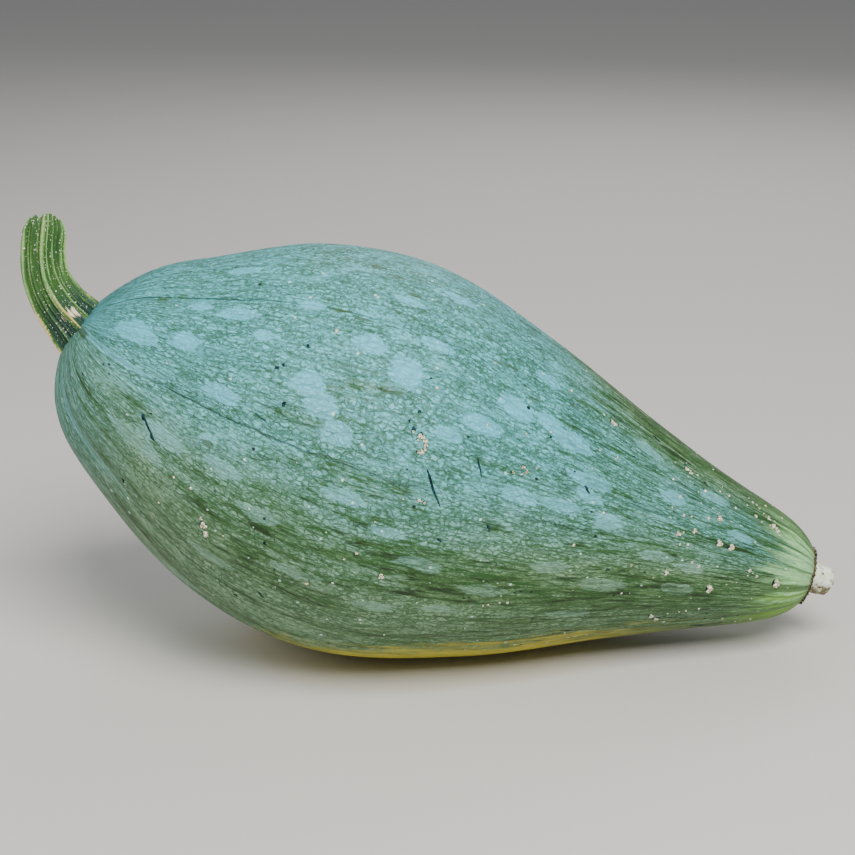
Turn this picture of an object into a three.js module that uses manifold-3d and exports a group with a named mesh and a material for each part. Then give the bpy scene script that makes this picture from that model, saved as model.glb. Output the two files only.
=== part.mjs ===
// A winter squash of the long teardrop kind, as picked. It lies on its belly, with the cut stem up
// at the wide end and the button of its flower at the end of the tapering tail. It is four solids: the
// fruit with its shallow lobes and cork warts, the ridged stem, the dry ring that the flower's petals
// left, and the corky button inside that ring.
import * as THREE from 'three';
import { mergeVertices } from 'three/addons/utils/BufferGeometryUtils.js';
import Module from 'manifold-3d';

// Driving dimensions, in millimetres and degrees. X runs from the stem end to the flower end, Z is up,
// and the origin is the middle of the small flat spot that the fruit rests on, at Z = 0.
const STEM_POLE = [-166, 162]; // X and Z of the two ends of the fruit's bent axis
const FLOWER_POLE = [188, 33];
const STEM_END_SLOPE = 40.5; // how steeply the axis falls at each end
const FLOWER_END_SLOPE = 15.5;
const STEM_END_PULL = 89; // how far the axis runs on in that direction before it bends
const FLOWER_END_PULL = 55;
// Half-widths of the fruit at ten stations from pole to pole, each divided by the sine of its
// station's angle, so that equal values would make an ellipsoid.
const FULLNESS = [90, 102, 96.5, 102, 98, 81, 63, 55, 62.5, 80];

// The shallow seams between the eight lobes, as angles about the axis from the top, away over the far
// side and back. Their depth is given at the same ten stations.
const SEAMS = [14, 62, 108, 152, 196, 231, 284, 326];
const SEAM_DEPTH = [0, 3.4, 2.2, 1.3, 0.8, 0.6, 0.7, 0.9, 1.1, 0];
const LOBE_MEAN = 0.68; // share of the seam's depth that keeps the fruit's mean width

const ROWS = 42; // rows of facets from pole to pole
const COLUMNS_PER_LOBE = 10;

// Cork warts: the large ones by hand, as distance along the axis, angle, radius and height.
const WARTS = [
  [163, 297.5, 2.1, 1.0],
  [166, 295.5, 2.4, 1.3],
  [170, 293.5, 1.7, 1.0],
  [89, 249, 2.3, 1.1],
  [92, 246.5, 1.7, 1.0],
  [214, 297.5, 1.9, 0.9],
  [199, 271.5, 2.0, 1.0],
  [322, 295, 1.8, 0.9],
  [329, 295.8, 1.8, 0.9],
  [355, 274.8, 2.1, 1.0],
  [323, 262.2, 1.9, 0.9],
  [340, 350.8, 2.0, 1.0],
  [349, 325.8, 1.9, 0.9],
];
const SCATTERED_WARTS = 20; // the small ones, drawn by rule, denser towards the flower end
const SCATTER_SEED = 41;
const SCATTERED_RADIUS = [1.3, 1.9];
const SCATTERED_HEIGHT = 0.8;
const SCATTER_ALONG = [0.2, 0.94]; // shares of the axis that they lie between
const SCATTER_ANGLES = [225, 495]; // and angles, from the near flank over the top to the far flank
const WART_SIDES = 7;
const WART_RINGS = 5;
const WART_ROOT = 1.6; // how far a wart's middle lies below the skin, in its own heights

const JOINT_GAP = 0.3; // clear space between touching solids

// The stem: its middle line in X and Z from inside the fruit to the cut end, and its half-width at
// equal steps along that line.
const STEM_LINE = [[-160, 153.5], [-165, 160.5], [-174, 172.5], [-179, 184], [-180, 196], [-178, 211]];
const STEM_HALF_WIDTH = [14, 13.4, 12, 11.1, 10.2, 9.6, 9.3, 9];
const STEM_RIDGES = 5;
const RIDGE_RISE = 0.085; // share of the half-width, for the main ridges and the ones between them
const LESSER_RIDGE_RISE = 0.05;
const RIDGE_TURN = 37; // how far the first ridge is turned from the outer side of the bend, in degrees
const RIDGE_TWIST = 13; // how far the ridges wind round from the foot to the cut end
const STEM_COLUMNS = 40;
const STEM_ROWS = 20;
const CUT_SLANT = 5.5; // the cut end is higher on the near side, and lower on the far side, by this
const CUT_DISH = 2; // and hollow in the middle
const CUT_NOTCH = 2.8; // with one split furrow in its rim
const NOTCH_ANGLE = 286; // degrees round the stem
const NOTCH_HALF_WIDTH = 11;
const CUT_REACH = 0.7; // share of the stem from which the slant and the notch begin to show
const CUT_RIM = 0.12; // share of the half-width that the rim is wide
const CUT_HOLLOW = 0.45; // share of it at which the hollow has most of its depth

// The flower end: a corky button on the pole, and round it the dry ring where the petals fell.
const BUTTON_SLOPE = 19; // degrees below level
const BUTTON_ROOT = [[0, -5], [6.9, -5], [7.3, 0]]; // radius and height, the root below the skin
const BUTTON_HEAD = [[7.2, 3.8], [6.7, 7.2], [5.5, 9.4], [3.3, 10.3], [0, 10]];
const BUTTON_LOBES = 5;
const BUTTON_LOBE_RISE = 0.045;
const BUTTON_COLUMNS = 30;
const RING_RADIUS = 13.3;
const RING_HALF_WIDTH = 0.75;
const RING_HEIGHT = 0.8;
const RING_FOOT_RISE = 0.1; // its flat foot clears the curved skin by this much more than the gap
const RING_LOBES = 5; // its ragged edge rises and falls with the flower's five parts
const RING_RAGGED = 0.35;
const RING_SEGMENTS = 48;
const RING_TOP_SHARE = 0.7; // its top is narrower than its foot by this

const RIND = '#7fa79b';
const STEM_GREEN = '#6f8f3f';
const DRY_BROWN = '#3a2c20';
const CORK = '#d8d4bd';

const wasm = await Module();
wasm.setup();

const radians = THREE.MathUtils.degToRad;
const side = new THREE.Vector3(0, 1, 0);
const WELD = 1e-5; // corners nearer than this are one corner
const TINY = 1e-6; // keeps a column that falls on a seam on its own side
const NUDGE = 0.01; // a small turn or share, for finding which way the skin runs

const spine = makeSpine();
const spineLength = spine.getLength();

// The bent axis of the fruit, from the stem pole to the flower pole, in the plane Y = 0.
function makeSpine() {
  const start = new THREE.Vector3(STEM_POLE[0], 0, STEM_POLE[1]);
  const end = new THREE.Vector3(FLOWER_POLE[0], 0, FLOWER_POLE[1]);
  const leave = slopeDirection(STEM_END_SLOPE).multiplyScalar(STEM_END_PULL).add(start);
  const arrive = slopeDirection(FLOWER_END_SLOPE).multiplyScalar(-FLOWER_END_PULL).add(end);
  return new THREE.CubicBezierCurve3(start, leave, arrive, end);
}

function slopeDirection(slope) {
  return new THREE.Vector3(Math.cos(radians(slope)), 0, -Math.sin(radians(slope)));
}

// A smooth value through equally spaced stations, where share runs from 0 to 1.
function through(stations, share) {
  const last = stations.length - 1;
  const place = share * last;
  const k = Math.min(Math.floor(place), last - 1);
  const t = place - k;
  const b = stations[k];
  const c = stations[k + 1];
  const a = k > 0 ? stations[k - 1] : 2 * b - c;
  const d = k + 2 <= last ? stations[k + 2] : 2 * c - b;
  const curve = (3 * (b - c) + d - a) * t + 2 * a - 5 * b + 4 * c - d;
  return b + 0.5 * t * (c - a + t * curve);
}

// How high a lobe stands at an angle about the axis: 0 in a seam and 1 on its crest.
function lobeRise(angle) {
  let k = SEAMS.length - 1;
  while (k > 0 && SEAMS[k] > angle) k -= 1;
  const from = SEAMS[k] > angle ? SEAMS[SEAMS.length - 1] - 360 : SEAMS[k];
  const to = SEAMS[k] > angle ? SEAMS[0] : (SEAMS[k + 1] ?? SEAMS[0] + 360);
  return Math.sqrt(Math.sin(Math.PI * (angle - from) / (to - from)));
}

// A point of the rind at a turn phi from the stem pole (0) to the flower pole (pi), and at an angle in
// degrees about the axis.
function rindPoint(phi, angle, lift = 0) {
  const along = (1 - Math.cos(phi)) / 2;
  const centre = spine.getPointAt(along);
  const ahead = spine.getTangentAt(along);
  const up = new THREE.Vector3(-ahead.z, 0, ahead.x);
  const share = phi / Math.PI;
  const depth = through(SEAM_DEPTH, share);
  const round = through(FULLNESS, share) * Math.sin(phi);
  const reach = round + (lobeRise(angle) - LOBE_MEAN) * depth + lift;
  return centre
    .addScaledVector(up, reach * Math.cos(radians(angle)))
    .addScaledVector(side, reach * Math.sin(radians(angle)));
}

// A closed geometry with shared corners, ready to be bent or cut.
function weld(geometry) {
  const plain = geometry.index ? geometry.toNonIndexed() : geometry;
  plain.deleteAttribute('normal');
  plain.deleteAttribute('uv');
  return mergeVertices(plain, WELD);
}

function reshape(geometry, place) {
  const position = geometry.attributes.position;
  const corner = new THREE.Vector3();
  for (let i = 0; i < position.count; i += 1) {
    corner.fromBufferAttribute(position, i);
    const moved = place(corner);
    position.setXYZ(i, moved.x, moved.y, moved.z);
  }
  return geometry;
}

function toSolid(geometry) {
  const vertProperties = new Float32Array(geometry.attributes.position.array);
  const triVerts = new Uint32Array(geometry.index.array);
  return new wasm.Manifold(new wasm.Mesh({ numProp: 3, vertProperties, triVerts }));
}

function toMesh(name, solid, color, roughness) {
  const { vertProperties, triVerts } = solid.getMesh();
  const geometry = new THREE.BufferGeometry();
  geometry.setAttribute('position', new THREE.BufferAttribute(vertProperties, 3));
  geometry.setIndex(new THREE.BufferAttribute(triVerts, 1));
  geometry.computeVertexNormals();
  const mesh = new THREE.Mesh(geometry, new THREE.MeshStandardMaterial({ color, roughness, metalness: 0 }));
  mesh.name = name;
  return mesh;
}

// How far round a lathe's blank a corner is, in the direction that keeps its faces pointing out once
// the blank's height runs along an axis, its Z up and its X away from the far side.
function turnOf(corner) {
  return Math.atan2(-corner.x, corner.z);
}

// A unit ball as a lathe: its pole-to-pole turn becomes phi, and its columns gather into the lobes.
function ballBlank() {
  const profile = [];
  for (let row = 0; row <= ROWS; row += 1) {
    const phi = Math.PI * row / ROWS;
    profile.push(new THREE.Vector2(Math.sin(phi), -Math.cos(phi)));
  }
  profile[0].x = 0;
  profile[ROWS].x = 0;
  return weld(new THREE.LatheGeometry(profile, SEAMS.length * COLUMNS_PER_LOBE));
}

// The angle about the axis that a column of the blank stands for, so that columns fall on the seams.
function columnAngle(turn) {
  const place = turn * SEAMS.length;
  const whole = Math.floor(place + TINY);
  const k = whole % SEAMS.length;
  const from = SEAMS[k];
  const to = SEAMS[k + 1] ?? SEAMS[0] + 360;
  return (from + (to - from) * (place - whole)) % 360;
}

function fruitGeometry() {
  return reshape(ballBlank(), (corner) => {
    const phi = Math.acos(THREE.MathUtils.clamp(-corner.y, -1, 1));
    const turn = (turnOf(corner) / (2 * Math.PI) + 1) % 1;
    const point = rindPoint(phi, columnAngle(turn));
    point.z = Math.max(point.z, 0);
    return point;
  });
}

// The same form grown by the gap that the stem and the button keep to it.
function grownFruit(geometry) {
  const grown = geometry.clone();
  grown.computeVertexNormals();
  const normal = grown.attributes.normal;
  const position = grown.attributes.position;
  for (let i = 0; i < position.count; i += 1) {
    const corner = new THREE.Vector3().fromBufferAttribute(position, i);
    corner.addScaledVector(new THREE.Vector3().fromBufferAttribute(normal, i), JOINT_GAP);
    position.setXYZ(i, corner.x, corner.y, corner.z);
  }
  grown.deleteAttribute('normal');
  return toSolid(grown);
}

// The small warts, by a seeded draw that keeps to the upper and side skin and favours the tail.
function scatteredWarts() {
  let state = SCATTER_SEED;
  const draw = () => {
    state = (state * 1103515245 + 12345) % 2147483648;
    return state / 2147483648;
  };
  const list = [];
  for (let i = 0; i < SCATTERED_WARTS; i += 1) {
    const along = spineLength * THREE.MathUtils.lerp(...SCATTER_ALONG, Math.sqrt(draw()));
    const angle = THREE.MathUtils.lerp(...SCATTER_ANGLES, draw()) % 360;
    const radius = THREE.MathUtils.lerp(...SCATTERED_RADIUS, draw());
    list.push([along, angle, radius, SCATTERED_HEIGHT]);
  }
  return list;
}

// One wart: a low dome with few sides, its middle well below the skin.
function wartSolid([along, angle, radius, height]) {
  const phi = Math.acos(1 - 2 * along / spineLength);
  const middle = rindPoint(phi, angle);
  const ahead = rindPoint(phi + NUDGE, angle).sub(middle);
  const round = rindPoint(phi, angle + 1).sub(middle);
  const out = new THREE.Vector3().crossVectors(ahead, round).normalize();
  const root = WART_ROOT * height;
  const ball = weld(new THREE.SphereGeometry(1, WART_SIDES, WART_RINGS));
  const turned = new THREE.Quaternion().setFromUnitVectors(new THREE.Vector3(0, 1, 0), out);
  const spread = radius / Math.sqrt(1 - (root / (root + height)) ** 2);
  ball.scale(spread, root + height, spread);
  ball.applyQuaternion(turned);
  ball.translate(middle.x - out.x * root, middle.y - out.y * root, middle.z - out.z * root);
  return toSolid(ball);
}

// The stem's blank is a lathe: its height is the share of the way along the middle line, and its
// radius the share of the half-width.
function stemBlank() {
  const profile = [new THREE.Vector2(0, 0)];
  for (let row = 0; row <= STEM_ROWS; row += 1) profile.push(new THREE.Vector2(1, row / STEM_ROWS));
  for (const width of [1 - CUT_RIM, CUT_HOLLOW, 0]) profile.push(new THREE.Vector2(width, 1 + NUDGE));
  return weld(new THREE.LatheGeometry(profile, STEM_COLUMNS));
}

function stemSolid() {
  const line = new THREE.CatmullRomCurve3(STEM_LINE.map(([x, z]) => new THREE.Vector3(x, 0, z)));
  return toSolid(reshape(stemBlank(), (corner) => {
    const share = Math.min(corner.y, 1);
    const width = Math.hypot(corner.x, corner.z);
    const turn = turnOf(corner);
    const centre = line.getPointAt(share);
    const ahead = line.getTangentAt(share);
    const up = new THREE.Vector3(-ahead.z, 0, ahead.x);
    const wound = turn - radians(RIDGE_TURN + RIDGE_TWIST * share);
    const main = RIDGE_RISE * Math.cos(STEM_RIDGES * wound);
    const lesser = LESSER_RIDGE_RISE * Math.cos(2 * STEM_RIDGES * wound);
    const reach = width * through(STEM_HALF_WIDTH, share) * (1 + main + lesser);
    const nearCut = THREE.MathUtils.smoothstep(share, CUT_REACH, 1);
    const fromNotch = Math.abs(((turn / radians(1) - NOTCH_ANGLE) % 360 + 540) % 360 - 180);
    const notch = CUT_NOTCH * Math.exp(-((fromNotch / NOTCH_HALF_WIDTH) ** 2));
    const rimRise = -CUT_SLANT * Math.sin(turn) - notch;
    const dish = corner.y > 1 ? CUT_DISH * (1 - width) : 0;
    return centre
      .addScaledVector(up, reach * Math.cos(turn))
      .addScaledVector(side, reach * Math.sin(turn))
      .addScaledVector(ahead, nearCut * width * rimRise - dish);
  }));
}

// Things that stand on the flower pole: local Y becomes the direction that the button points in.
function onFlowerPole(geometry) {
  const outwards = slopeDirection(BUTTON_SLOPE);
  const turned = new THREE.Quaternion().setFromUnitVectors(new THREE.Vector3(0, 1, 0), outwards);
  geometry.applyQuaternion(turned);
  geometry.translate(FLOWER_POLE[0], 0, FLOWER_POLE[1]);
  return geometry;
}

function buttonSolid() {
  const profile = [...BUTTON_ROOT, ...BUTTON_HEAD].map(([x, y]) => new THREE.Vector2(x, y));
  const blank = weld(new THREE.LatheGeometry(profile, BUTTON_COLUMNS));
  reshape(blank, (corner) => {
    const swell = 1 + BUTTON_LOBE_RISE * Math.cos(BUTTON_LOBES * turnOf(corner));
    return corner.multiply(new THREE.Vector3(swell, 1, swell));
  });
  return toSolid(onFlowerPole(blank));
}

// The dry ring follows the skin: each of its sections stands on the rind at the ring's radius. In the
// blank, the distance from a circle of radius RING_RADIUS is the place across the ring, in half-widths,
// and the height is 0 at the foot and 1 on top.
function ringSolid() {
  const section = [[-1, 0], [1, 0], [RING_TOP_SHARE, 1], [-RING_TOP_SHARE, 1], [-1, 0]];
  const profile = section.map(([across, height]) => new THREE.Vector2(RING_RADIUS + across, height));
  const blank = weld(new THREE.LatheGeometry(profile, RING_SEGMENTS));
  return toSolid(reshape(blank, (corner) => {
    const across = Math.hypot(corner.x, corner.z) - RING_RADIUS;
    const turn = turnOf(corner);
    const angle = (turn / radians(1) + 360) % 360;
    const phi = ringPhi(RING_RADIUS, angle);
    const foot = rindPoint(phi, angle);
    const ahead = foot.clone().sub(rindPoint(phi - NUDGE, angle)).normalize();
    const outwards = rindPoint(phi, angle, 1).sub(foot);
    const skin = outwards.addScaledVector(ahead, -outwards.dot(ahead)).normalize();
    const ragged = 1 + RING_RAGGED * Math.cos(RING_LOBES * turn) * Math.cos(3 * turn);
    const rise = JOINT_GAP + RING_FOOT_RISE + corner.y * RING_HEIGHT * ragged;
    return foot.addScaledVector(ahead, -across * RING_HALF_WIDTH).addScaledVector(skin, rise);
  }));
}

// The turn phi near the flower pole at which the skin is a given distance from the axis.
function ringPhi(radius, angle) {
  let low = Math.PI * 0.9;
  let high = Math.PI;
  for (let step = 0; step < 30; step += 1) {
    const middle = (low + high) / 2;
    const centre = spine.getPointAt((1 - Math.cos(middle)) / 2);
    if (rindPoint(middle, angle).distanceTo(centre) > radius) low = middle;
    else high = middle;
  }
  return (low + high) / 2;
}

const smooth = fruitGeometry();
const grown = grownFruit(smooth);
const warts = [...WARTS, ...scatteredWarts()].map(wartSolid);
const fruit = warts.reduce((body, wart) => body.add(wart), toSolid(smooth));
const stem = stemSolid().subtract(grown);
const button = buttonSolid().subtract(grown);

const squash = new THREE.Group();
squash.name = 'winter_squash';
squash.add(toMesh('fruit', fruit, RIND, 0.55));
squash.add(toMesh('stem', stem, STEM_GREEN, 0.7));
squash.add(toMesh('corolla_scar', ringSolid(), DRY_BROWN, 0.9));
squash.add(toMesh('blossom_button', button, CORK, 0.85));

export default squash;
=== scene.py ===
import math
import random
from functools import lru_cache

import bmesh
import bpy
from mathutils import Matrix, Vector, noise


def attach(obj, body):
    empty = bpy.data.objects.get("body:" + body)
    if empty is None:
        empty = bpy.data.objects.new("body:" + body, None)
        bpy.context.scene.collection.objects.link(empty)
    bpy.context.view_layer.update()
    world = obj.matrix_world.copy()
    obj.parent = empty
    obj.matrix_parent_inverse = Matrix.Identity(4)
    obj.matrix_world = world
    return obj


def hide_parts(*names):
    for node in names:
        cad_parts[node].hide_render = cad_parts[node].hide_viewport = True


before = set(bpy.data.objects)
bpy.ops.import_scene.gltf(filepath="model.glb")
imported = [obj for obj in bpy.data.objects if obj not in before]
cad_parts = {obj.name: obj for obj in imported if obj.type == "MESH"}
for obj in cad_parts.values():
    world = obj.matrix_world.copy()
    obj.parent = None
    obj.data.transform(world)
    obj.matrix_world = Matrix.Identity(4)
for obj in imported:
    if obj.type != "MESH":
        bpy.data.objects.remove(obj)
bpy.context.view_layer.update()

# Camera, light and floor
# The squash is seen from its near side and 18 degrees above level, through a long lens that fills the
# square picture with it. It lies on a plain pale floor, under one soft light above the camera and two
# weak ones from the left and from behind.
VIEW_ELEVATION = math.radians(18)
CAMERA_PLACE = (-0.0008, -0.9175, 0.4083)
PICTURE_SIDE = 855
FOCAL_LENGTH = 2011
FILM_WIDTH = 36
FLOOR_SIDE = 14
FLOOR_PALE = (0.62, 0.6, 0.57, 1)
ROOM_WHITE = (0.9, 0.95, 1, 1)
ROOM_STRENGTH = 0.24
LIT_HEIGHT = 0.1

camera_data = bpy.data.cameras.new("camera")
camera_data.sensor_width = FILM_WIDTH
camera_data.lens = FILM_WIDTH * FOCAL_LENGTH / PICTURE_SIDE
camera = bpy.data.objects.new("camera", camera_data)
camera.location = CAMERA_PLACE
camera.rotation_euler = (math.pi / 2 - VIEW_ELEVATION, 0, 0)
bpy.context.scene.collection.objects.link(camera)
bpy.context.scene.camera = camera


def soft_light(name, place, side, power, colour):
    lamp = bpy.data.lights.new(name, "AREA")
    lamp.size = side
    lamp.energy = power
    lamp.color = colour
    holder = bpy.data.objects.new(name, lamp)
    holder.location = place
    holder.rotation_euler = (Vector((0, 0, LIT_HEIGHT)) - Vector(place)).to_track_quat("-Z", "Y").to_euler()
    bpy.context.scene.collection.objects.link(holder)


soft_light("window_light", (0.3, -0.95, 1.35), 0.9, 40, (1, 0.99, 0.96))
soft_light("left_light", (-1.2, -0.3, 0.9), 0.9, 6, (0.94, 0.97, 1))
soft_light("back_light", (0.3, 1.3, 1.1), 1, 8, (1, 0.98, 0.95))
world = bpy.data.worlds.new("room")
world.use_nodes = True
world.node_tree.nodes["Background"].inputs["Color"].default_value = ROOM_WHITE
world.node_tree.nodes["Background"].inputs["Strength"].default_value = ROOM_STRENGTH
bpy.context.scene.world = world


def finished(name, shape, smooth=True):
    """The object of a finished shape, placed in the scene."""
    for face in shape.faces:
        face.smooth = smooth
    mesh = bpy.data.meshes.new(name)
    shape.to_mesh(mesh)
    shape.free()
    piece = bpy.data.objects.new(name, mesh)
    bpy.context.scene.collection.objects.link(piece)
    return piece


def finish_of(piece, name):
    """A new material on a piece, as its node tree and its shader."""
    finish = bpy.data.materials.new(name)
    finish.use_nodes = True
    piece.data.materials.append(finish)
    return finish.node_tree, finish.node_tree.nodes["Principled BSDF"]


floor_shape = bmesh.new()
bmesh.ops.create_grid(floor_shape, x_segments=1, y_segments=1, size=FLOOR_SIDE / 2)
floor = finished("floor", floor_shape, smooth=False)
paint = finish_of(floor, "pale_floor")[1]
paint.inputs["Base Color"].default_value = FLOOR_PALE
paint.inputs["Roughness"].default_value = 0.8

# The rind
# The fruit's own hard, waxy skin, which grew as one teardrop about a bent axis that falls from the stem
# end to the flower end. It has the same eight lobes and flat spot as the faceted solid that it covers,
# and besides them raised seams and finer ribs that fan out from the stem.

# The form, in metres and degrees: the axis's two ends as X and Z, and the half-widths at equal steps of
# the turn from pole to pole, each divided by the sine of that turn.
STEM_POLE = (-0.166, 0.162)
FLOWER_POLE = (0.188, 0.033)
STEM_END_SLOPE = math.radians(40.5)
FLOWER_END_SLOPE = math.radians(15.5)
STEM_END_PULL = 0.089
FLOWER_END_PULL = 0.055
FULLNESS = (0.09, 0.102, 0.0965, 0.102, 0.098, 0.081, 0.063, 0.055, 0.0625, 0.08)
# The seams lie at these angles about the axis, from the top over the far side, and are this deep at the
# same steps.
SEAMS = (14, 62, 108, 152, 196, 231, 284, 326)
SEAM_DEPTH = (0, 0.0034, 0.0022, 0.0013, 0.0008, 0.0006, 0.0007, 0.0009, 0.0011, 0)
# Taken off every lobe, so that the lobes swell about the half-widths and don't add to them.
LOBE_MEAN = 0.68
SPINE_STEPS = 400


def slope_direction(slope):
    return Vector((math.cos(slope), 0, -math.sin(slope)))


def spine_table():
    """Points of the bent axis at even steps of the curve, each with the length of axis before it."""
    start = Vector((STEM_POLE[0], 0, STEM_POLE[1]))
    end = Vector((FLOWER_POLE[0], 0, FLOWER_POLE[1]))
    leave = start + STEM_END_PULL * slope_direction(STEM_END_SLOPE)
    arrive = end - FLOWER_END_PULL * slope_direction(FLOWER_END_SLOPE)
    table = []
    length = 0
    for step in range(SPINE_STEPS + 1):
        t = step / SPINE_STEPS
        s = 1 - t
        point = s**3 * start + 3 * s * s * t * leave + 3 * s * t * t * arrive + t**3 * end
        ahead = s * s * (leave - start) + 2 * s * t * (arrive - leave) + t * t * (end - arrive)
        ahead.normalize()
        if table:
            length += (point - table[-1][1]).length
        table.append((length, point, ahead))
    return table


SPINE = spine_table()
SPINE_LENGTH = SPINE[-1][0]


def spine_at(share):
    """The axis's point and direction at a share of its length."""
    wanted = share * SPINE_LENGTH
    low, high = 0, SPINE_STEPS
    while high - low > 1:
        middle = (low + high) // 2
        if SPINE[middle][0] <= wanted:
            low = middle
        else:
            high = middle
    part = (wanted - SPINE[low][0]) / (SPINE[high][0] - SPINE[low][0])
    point = SPINE[low][1].lerp(SPINE[high][1], part)
    return point, SPINE[low][2].lerp(SPINE[high][2], part).normalized()


def through(stations, share):
    """A smooth value through equally spaced stations, where share runs from 0 to 1."""
    last = len(stations) - 1
    place = min(max(share, 0), 1) * last
    k = min(int(place), last - 1)
    t = place - k
    b, c = stations[k], stations[k + 1]
    a = stations[k - 1] if k > 0 else 2 * b - c
    d = stations[k + 2] if k + 2 <= last else 2 * c - b
    curve = (3 * (b - c) + d - a) * t + 2 * a - 5 * b + 4 * c - d
    return b + 0.5 * t * (c - a + t * curve)


def lobe_share(angle):
    """How far across its lobe an angle lies, from 0 in one seam to 1 in the next."""
    angle %= 360
    for k, seam in enumerate(SEAMS):
        following = SEAMS[k + 1] if k + 1 < len(SEAMS) else SEAMS[0] + 360
        for turned in (angle, angle + 360):
            if seam <= turned < following:
                return (turned - seam) / (following - seam)
    return 0


@lru_cache(None)
def station(phi):
    """What is the same all round the fruit at a turn phi from the stem pole to the flower pole."""
    point, ahead = spine_at((1 - math.cos(phi)) / 2)
    up = Vector((-ahead.z, 0, ahead.x))
    share = phi / math.pi
    return point, up, through(FULLNESS, share) * math.sin(phi), through(SEAM_DEPTH, share)


def rind_point(phi, angle):
    """A point of the smooth rind, at an angle in degrees about the axis from its upper side."""
    point, up, radius, depth = station(round(phi, 6))
    lobe = math.sqrt(max(0, math.sin(math.pi * lobe_share(angle))))
    reach = radius + (lobe - LOBE_MEAN) * depth
    turn = math.radians(angle)
    return point + reach * (math.cos(turn) * up + math.sin(turn) * Vector((0, 1, 0)))


def phi_at(along):
    """The turn phi at a length along the axis, in metres from the stem pole."""
    return math.acos(1 - 2 * min(max(along / SPINE_LENGTH, 0), 1))


RIND_COLUMNS = 256
RIND_ROWS = 360
# A column this near to a seam, as a share of a lobe, counts as lying in it.
SEAM_SLACK = 1e-4
# Each corner carries its place on the straightened fruit, a rod of this radius, so that the streaks
# follow the lobes.
ROUND_RADIUS = 0.09
FAN_RIBS = 46
FAN_RIB_RISE = 0.00022
FAN_REACH = 0.11
FAN_WAVER = 3
FAN_WAVER_PACE = 90
SWELL_RISE = 0.0007
SWELL_SCALE = 17
# Ribs, swells and raised seams die out where the fruit is thinner than these.
FAN_FULL_RADIUS = 0.02
SWELL_FULL_RADIUS = 0.03
SEAM_FULL_RADIUS = 0.012
RAISED_SEAMS = (284, 231)
RAISED_RISE = 0.0012
RAISED_WIDTH = 0.0016
RAISED_REACH = 0.075

# Ovals on the skin: length along the axis in millimetres, angle, half-length, half-width.
BLOTCHES = (
    (25, 301, 12, 6), (49, 303.5, 10, 5), (129, 317, 10, 6), (150, 312, 11, 9), (108, 301, 10, 7),
    (117, 296, 9, 6), (127, 291, 9, 6), (205, 316, 12, 7), (222, 317, 10, 5), (235, 314, 12, 6),
    (50, 258, 15, 5), (58, 268, 16, 5), (76, 275, 6, 4), (62, 342, 11, 3.5), (66, 319, 12, 4),
    (48, 321, 7, 3), (220, 333, 8, 4), (293, 312, 9, 4), (167, 346, 14, 4), (263, 290, 10, 5),
    (216, 290, 12, 4), (236, 291, 14, 4), (250, 297, 9, 3.5), (213, 257, 15, 4), (182, 263, 12, 4),
    (249, 303, 13, 4), (142, 336, 13, 3), (98, 326, 10, 4), (310, 276, 10, 3), (306, 262, 9, 3.5),
    (270, 262, 12, 4), (331, 306, 9, 3), (315, 325, 10, 3), (276, 331, 9, 3), (176, 300, 8, 4),
    (190, 306, 14, 5), (160, 324, 10, 4), (82, 312, 8, 4), (73, 290, 11, 4), (88, 270, 12, 4),
    (140, 276, 14, 4), (165, 270, 12, 3), (110, 262, 13, 4), (132, 250, 14, 4), (170, 246, 12, 4),
    (196, 248, 13, 3), (240, 268, 12, 3.5), (290, 280, 10, 3), (256, 246, 12, 3), (96, 240, 14, 4),
    (22, 284, 26, 2), (34, 231.5, 34, 2.2), (60, 30, 16, 7), (120, 20, 16, 6), (170, 40, 18, 7),
    (100, 60, 18, 7), (220, 30, 16, 5),
    (150, 75, 16, 7), (80, 95, 16, 6), (200, 90, 16, 5), (260, 60, 14, 5), (300, 30, 12, 4),
    (130, 120, 18, 6), (230, 115, 16, 4), (60, 140, 14, 5), (180, 135, 14, 5), (90, 215, 16, 5),
)
STAINS = (
    (29, 324.5, 5, 2.4), (38, 327, 5, 1.5), (124, 348.5, 9, 2.5), (133, 345, 7, 1.8), (112, 326, 9, 1.4),
    (124, 325, 9, 1.5), (138, 325, 10, 1.4), (144, 339, 9, 2.2), (158, 337, 10, 1.6), (172, 331, 10, 1.4),
    (184, 327, 9, 1.3), (4, 282, 4, 2.6), (23, 266.5, 3, 1.4), (71, 267, 3, 1.4), (77, 274, 4, 2),
    (74, 262, 4, 1.6), (200, 329, 9, 1.3), (212, 322, 8, 1.2), (248, 340, 9, 1.6), (236, 332, 8, 1.4),
    (152, 352, 9, 1.8), (100, 5, 9, 2.4), (180, 15, 10, 2), (140, 60, 9, 2), (90, 150, 9, 2),
)


def rind_relief(phi, angle, point):
    """The fine height of the skin over the smooth form: fanned ribs, raised seams and slow swells."""
    along = SPINE_LENGTH * (1 - math.cos(phi)) / 2
    radius = station(round(phi, 6))[2]
    fan = max(0, 1 - along / FAN_REACH) * min(1, radius / FAN_FULL_RADIUS)
    wavering = math.radians(angle + FAN_WAVER * math.sin(along * FAN_WAVER_PACE))
    height = FAN_RIB_RISE * fan * math.cos(FAN_RIBS * wavering)
    for seam in RAISED_SEAMS:
        across = math.radians((angle - seam + 180) % 360 - 180) * radius
        fade = max(0, 1 - along / RAISED_REACH) * min(1, radius / SEAM_FULL_RADIUS)
        height += RAISED_RISE * fade * math.exp(-(across / RAISED_WIDTH)**2)
    height += SWELL_RISE * min(1, radius / SWELL_FULL_RADIUS) * noise.noise(point * SWELL_SCALE)
    return height


def oval_value(ovals, along, angle, radius):
    """Above 0 inside an oval, and 1 in its middle."""
    best = -1
    for middle, turned, half_length, half_width in ovals:
        lengthwise = (along * 1000 - middle) / half_length
        if abs(lengthwise) < 2:
            across = math.radians((angle - turned + 180) % 360 - 180) * radius * 1000 / half_width
            best = max(best, 1 - math.hypot(lengthwise, across))
    return best


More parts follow.
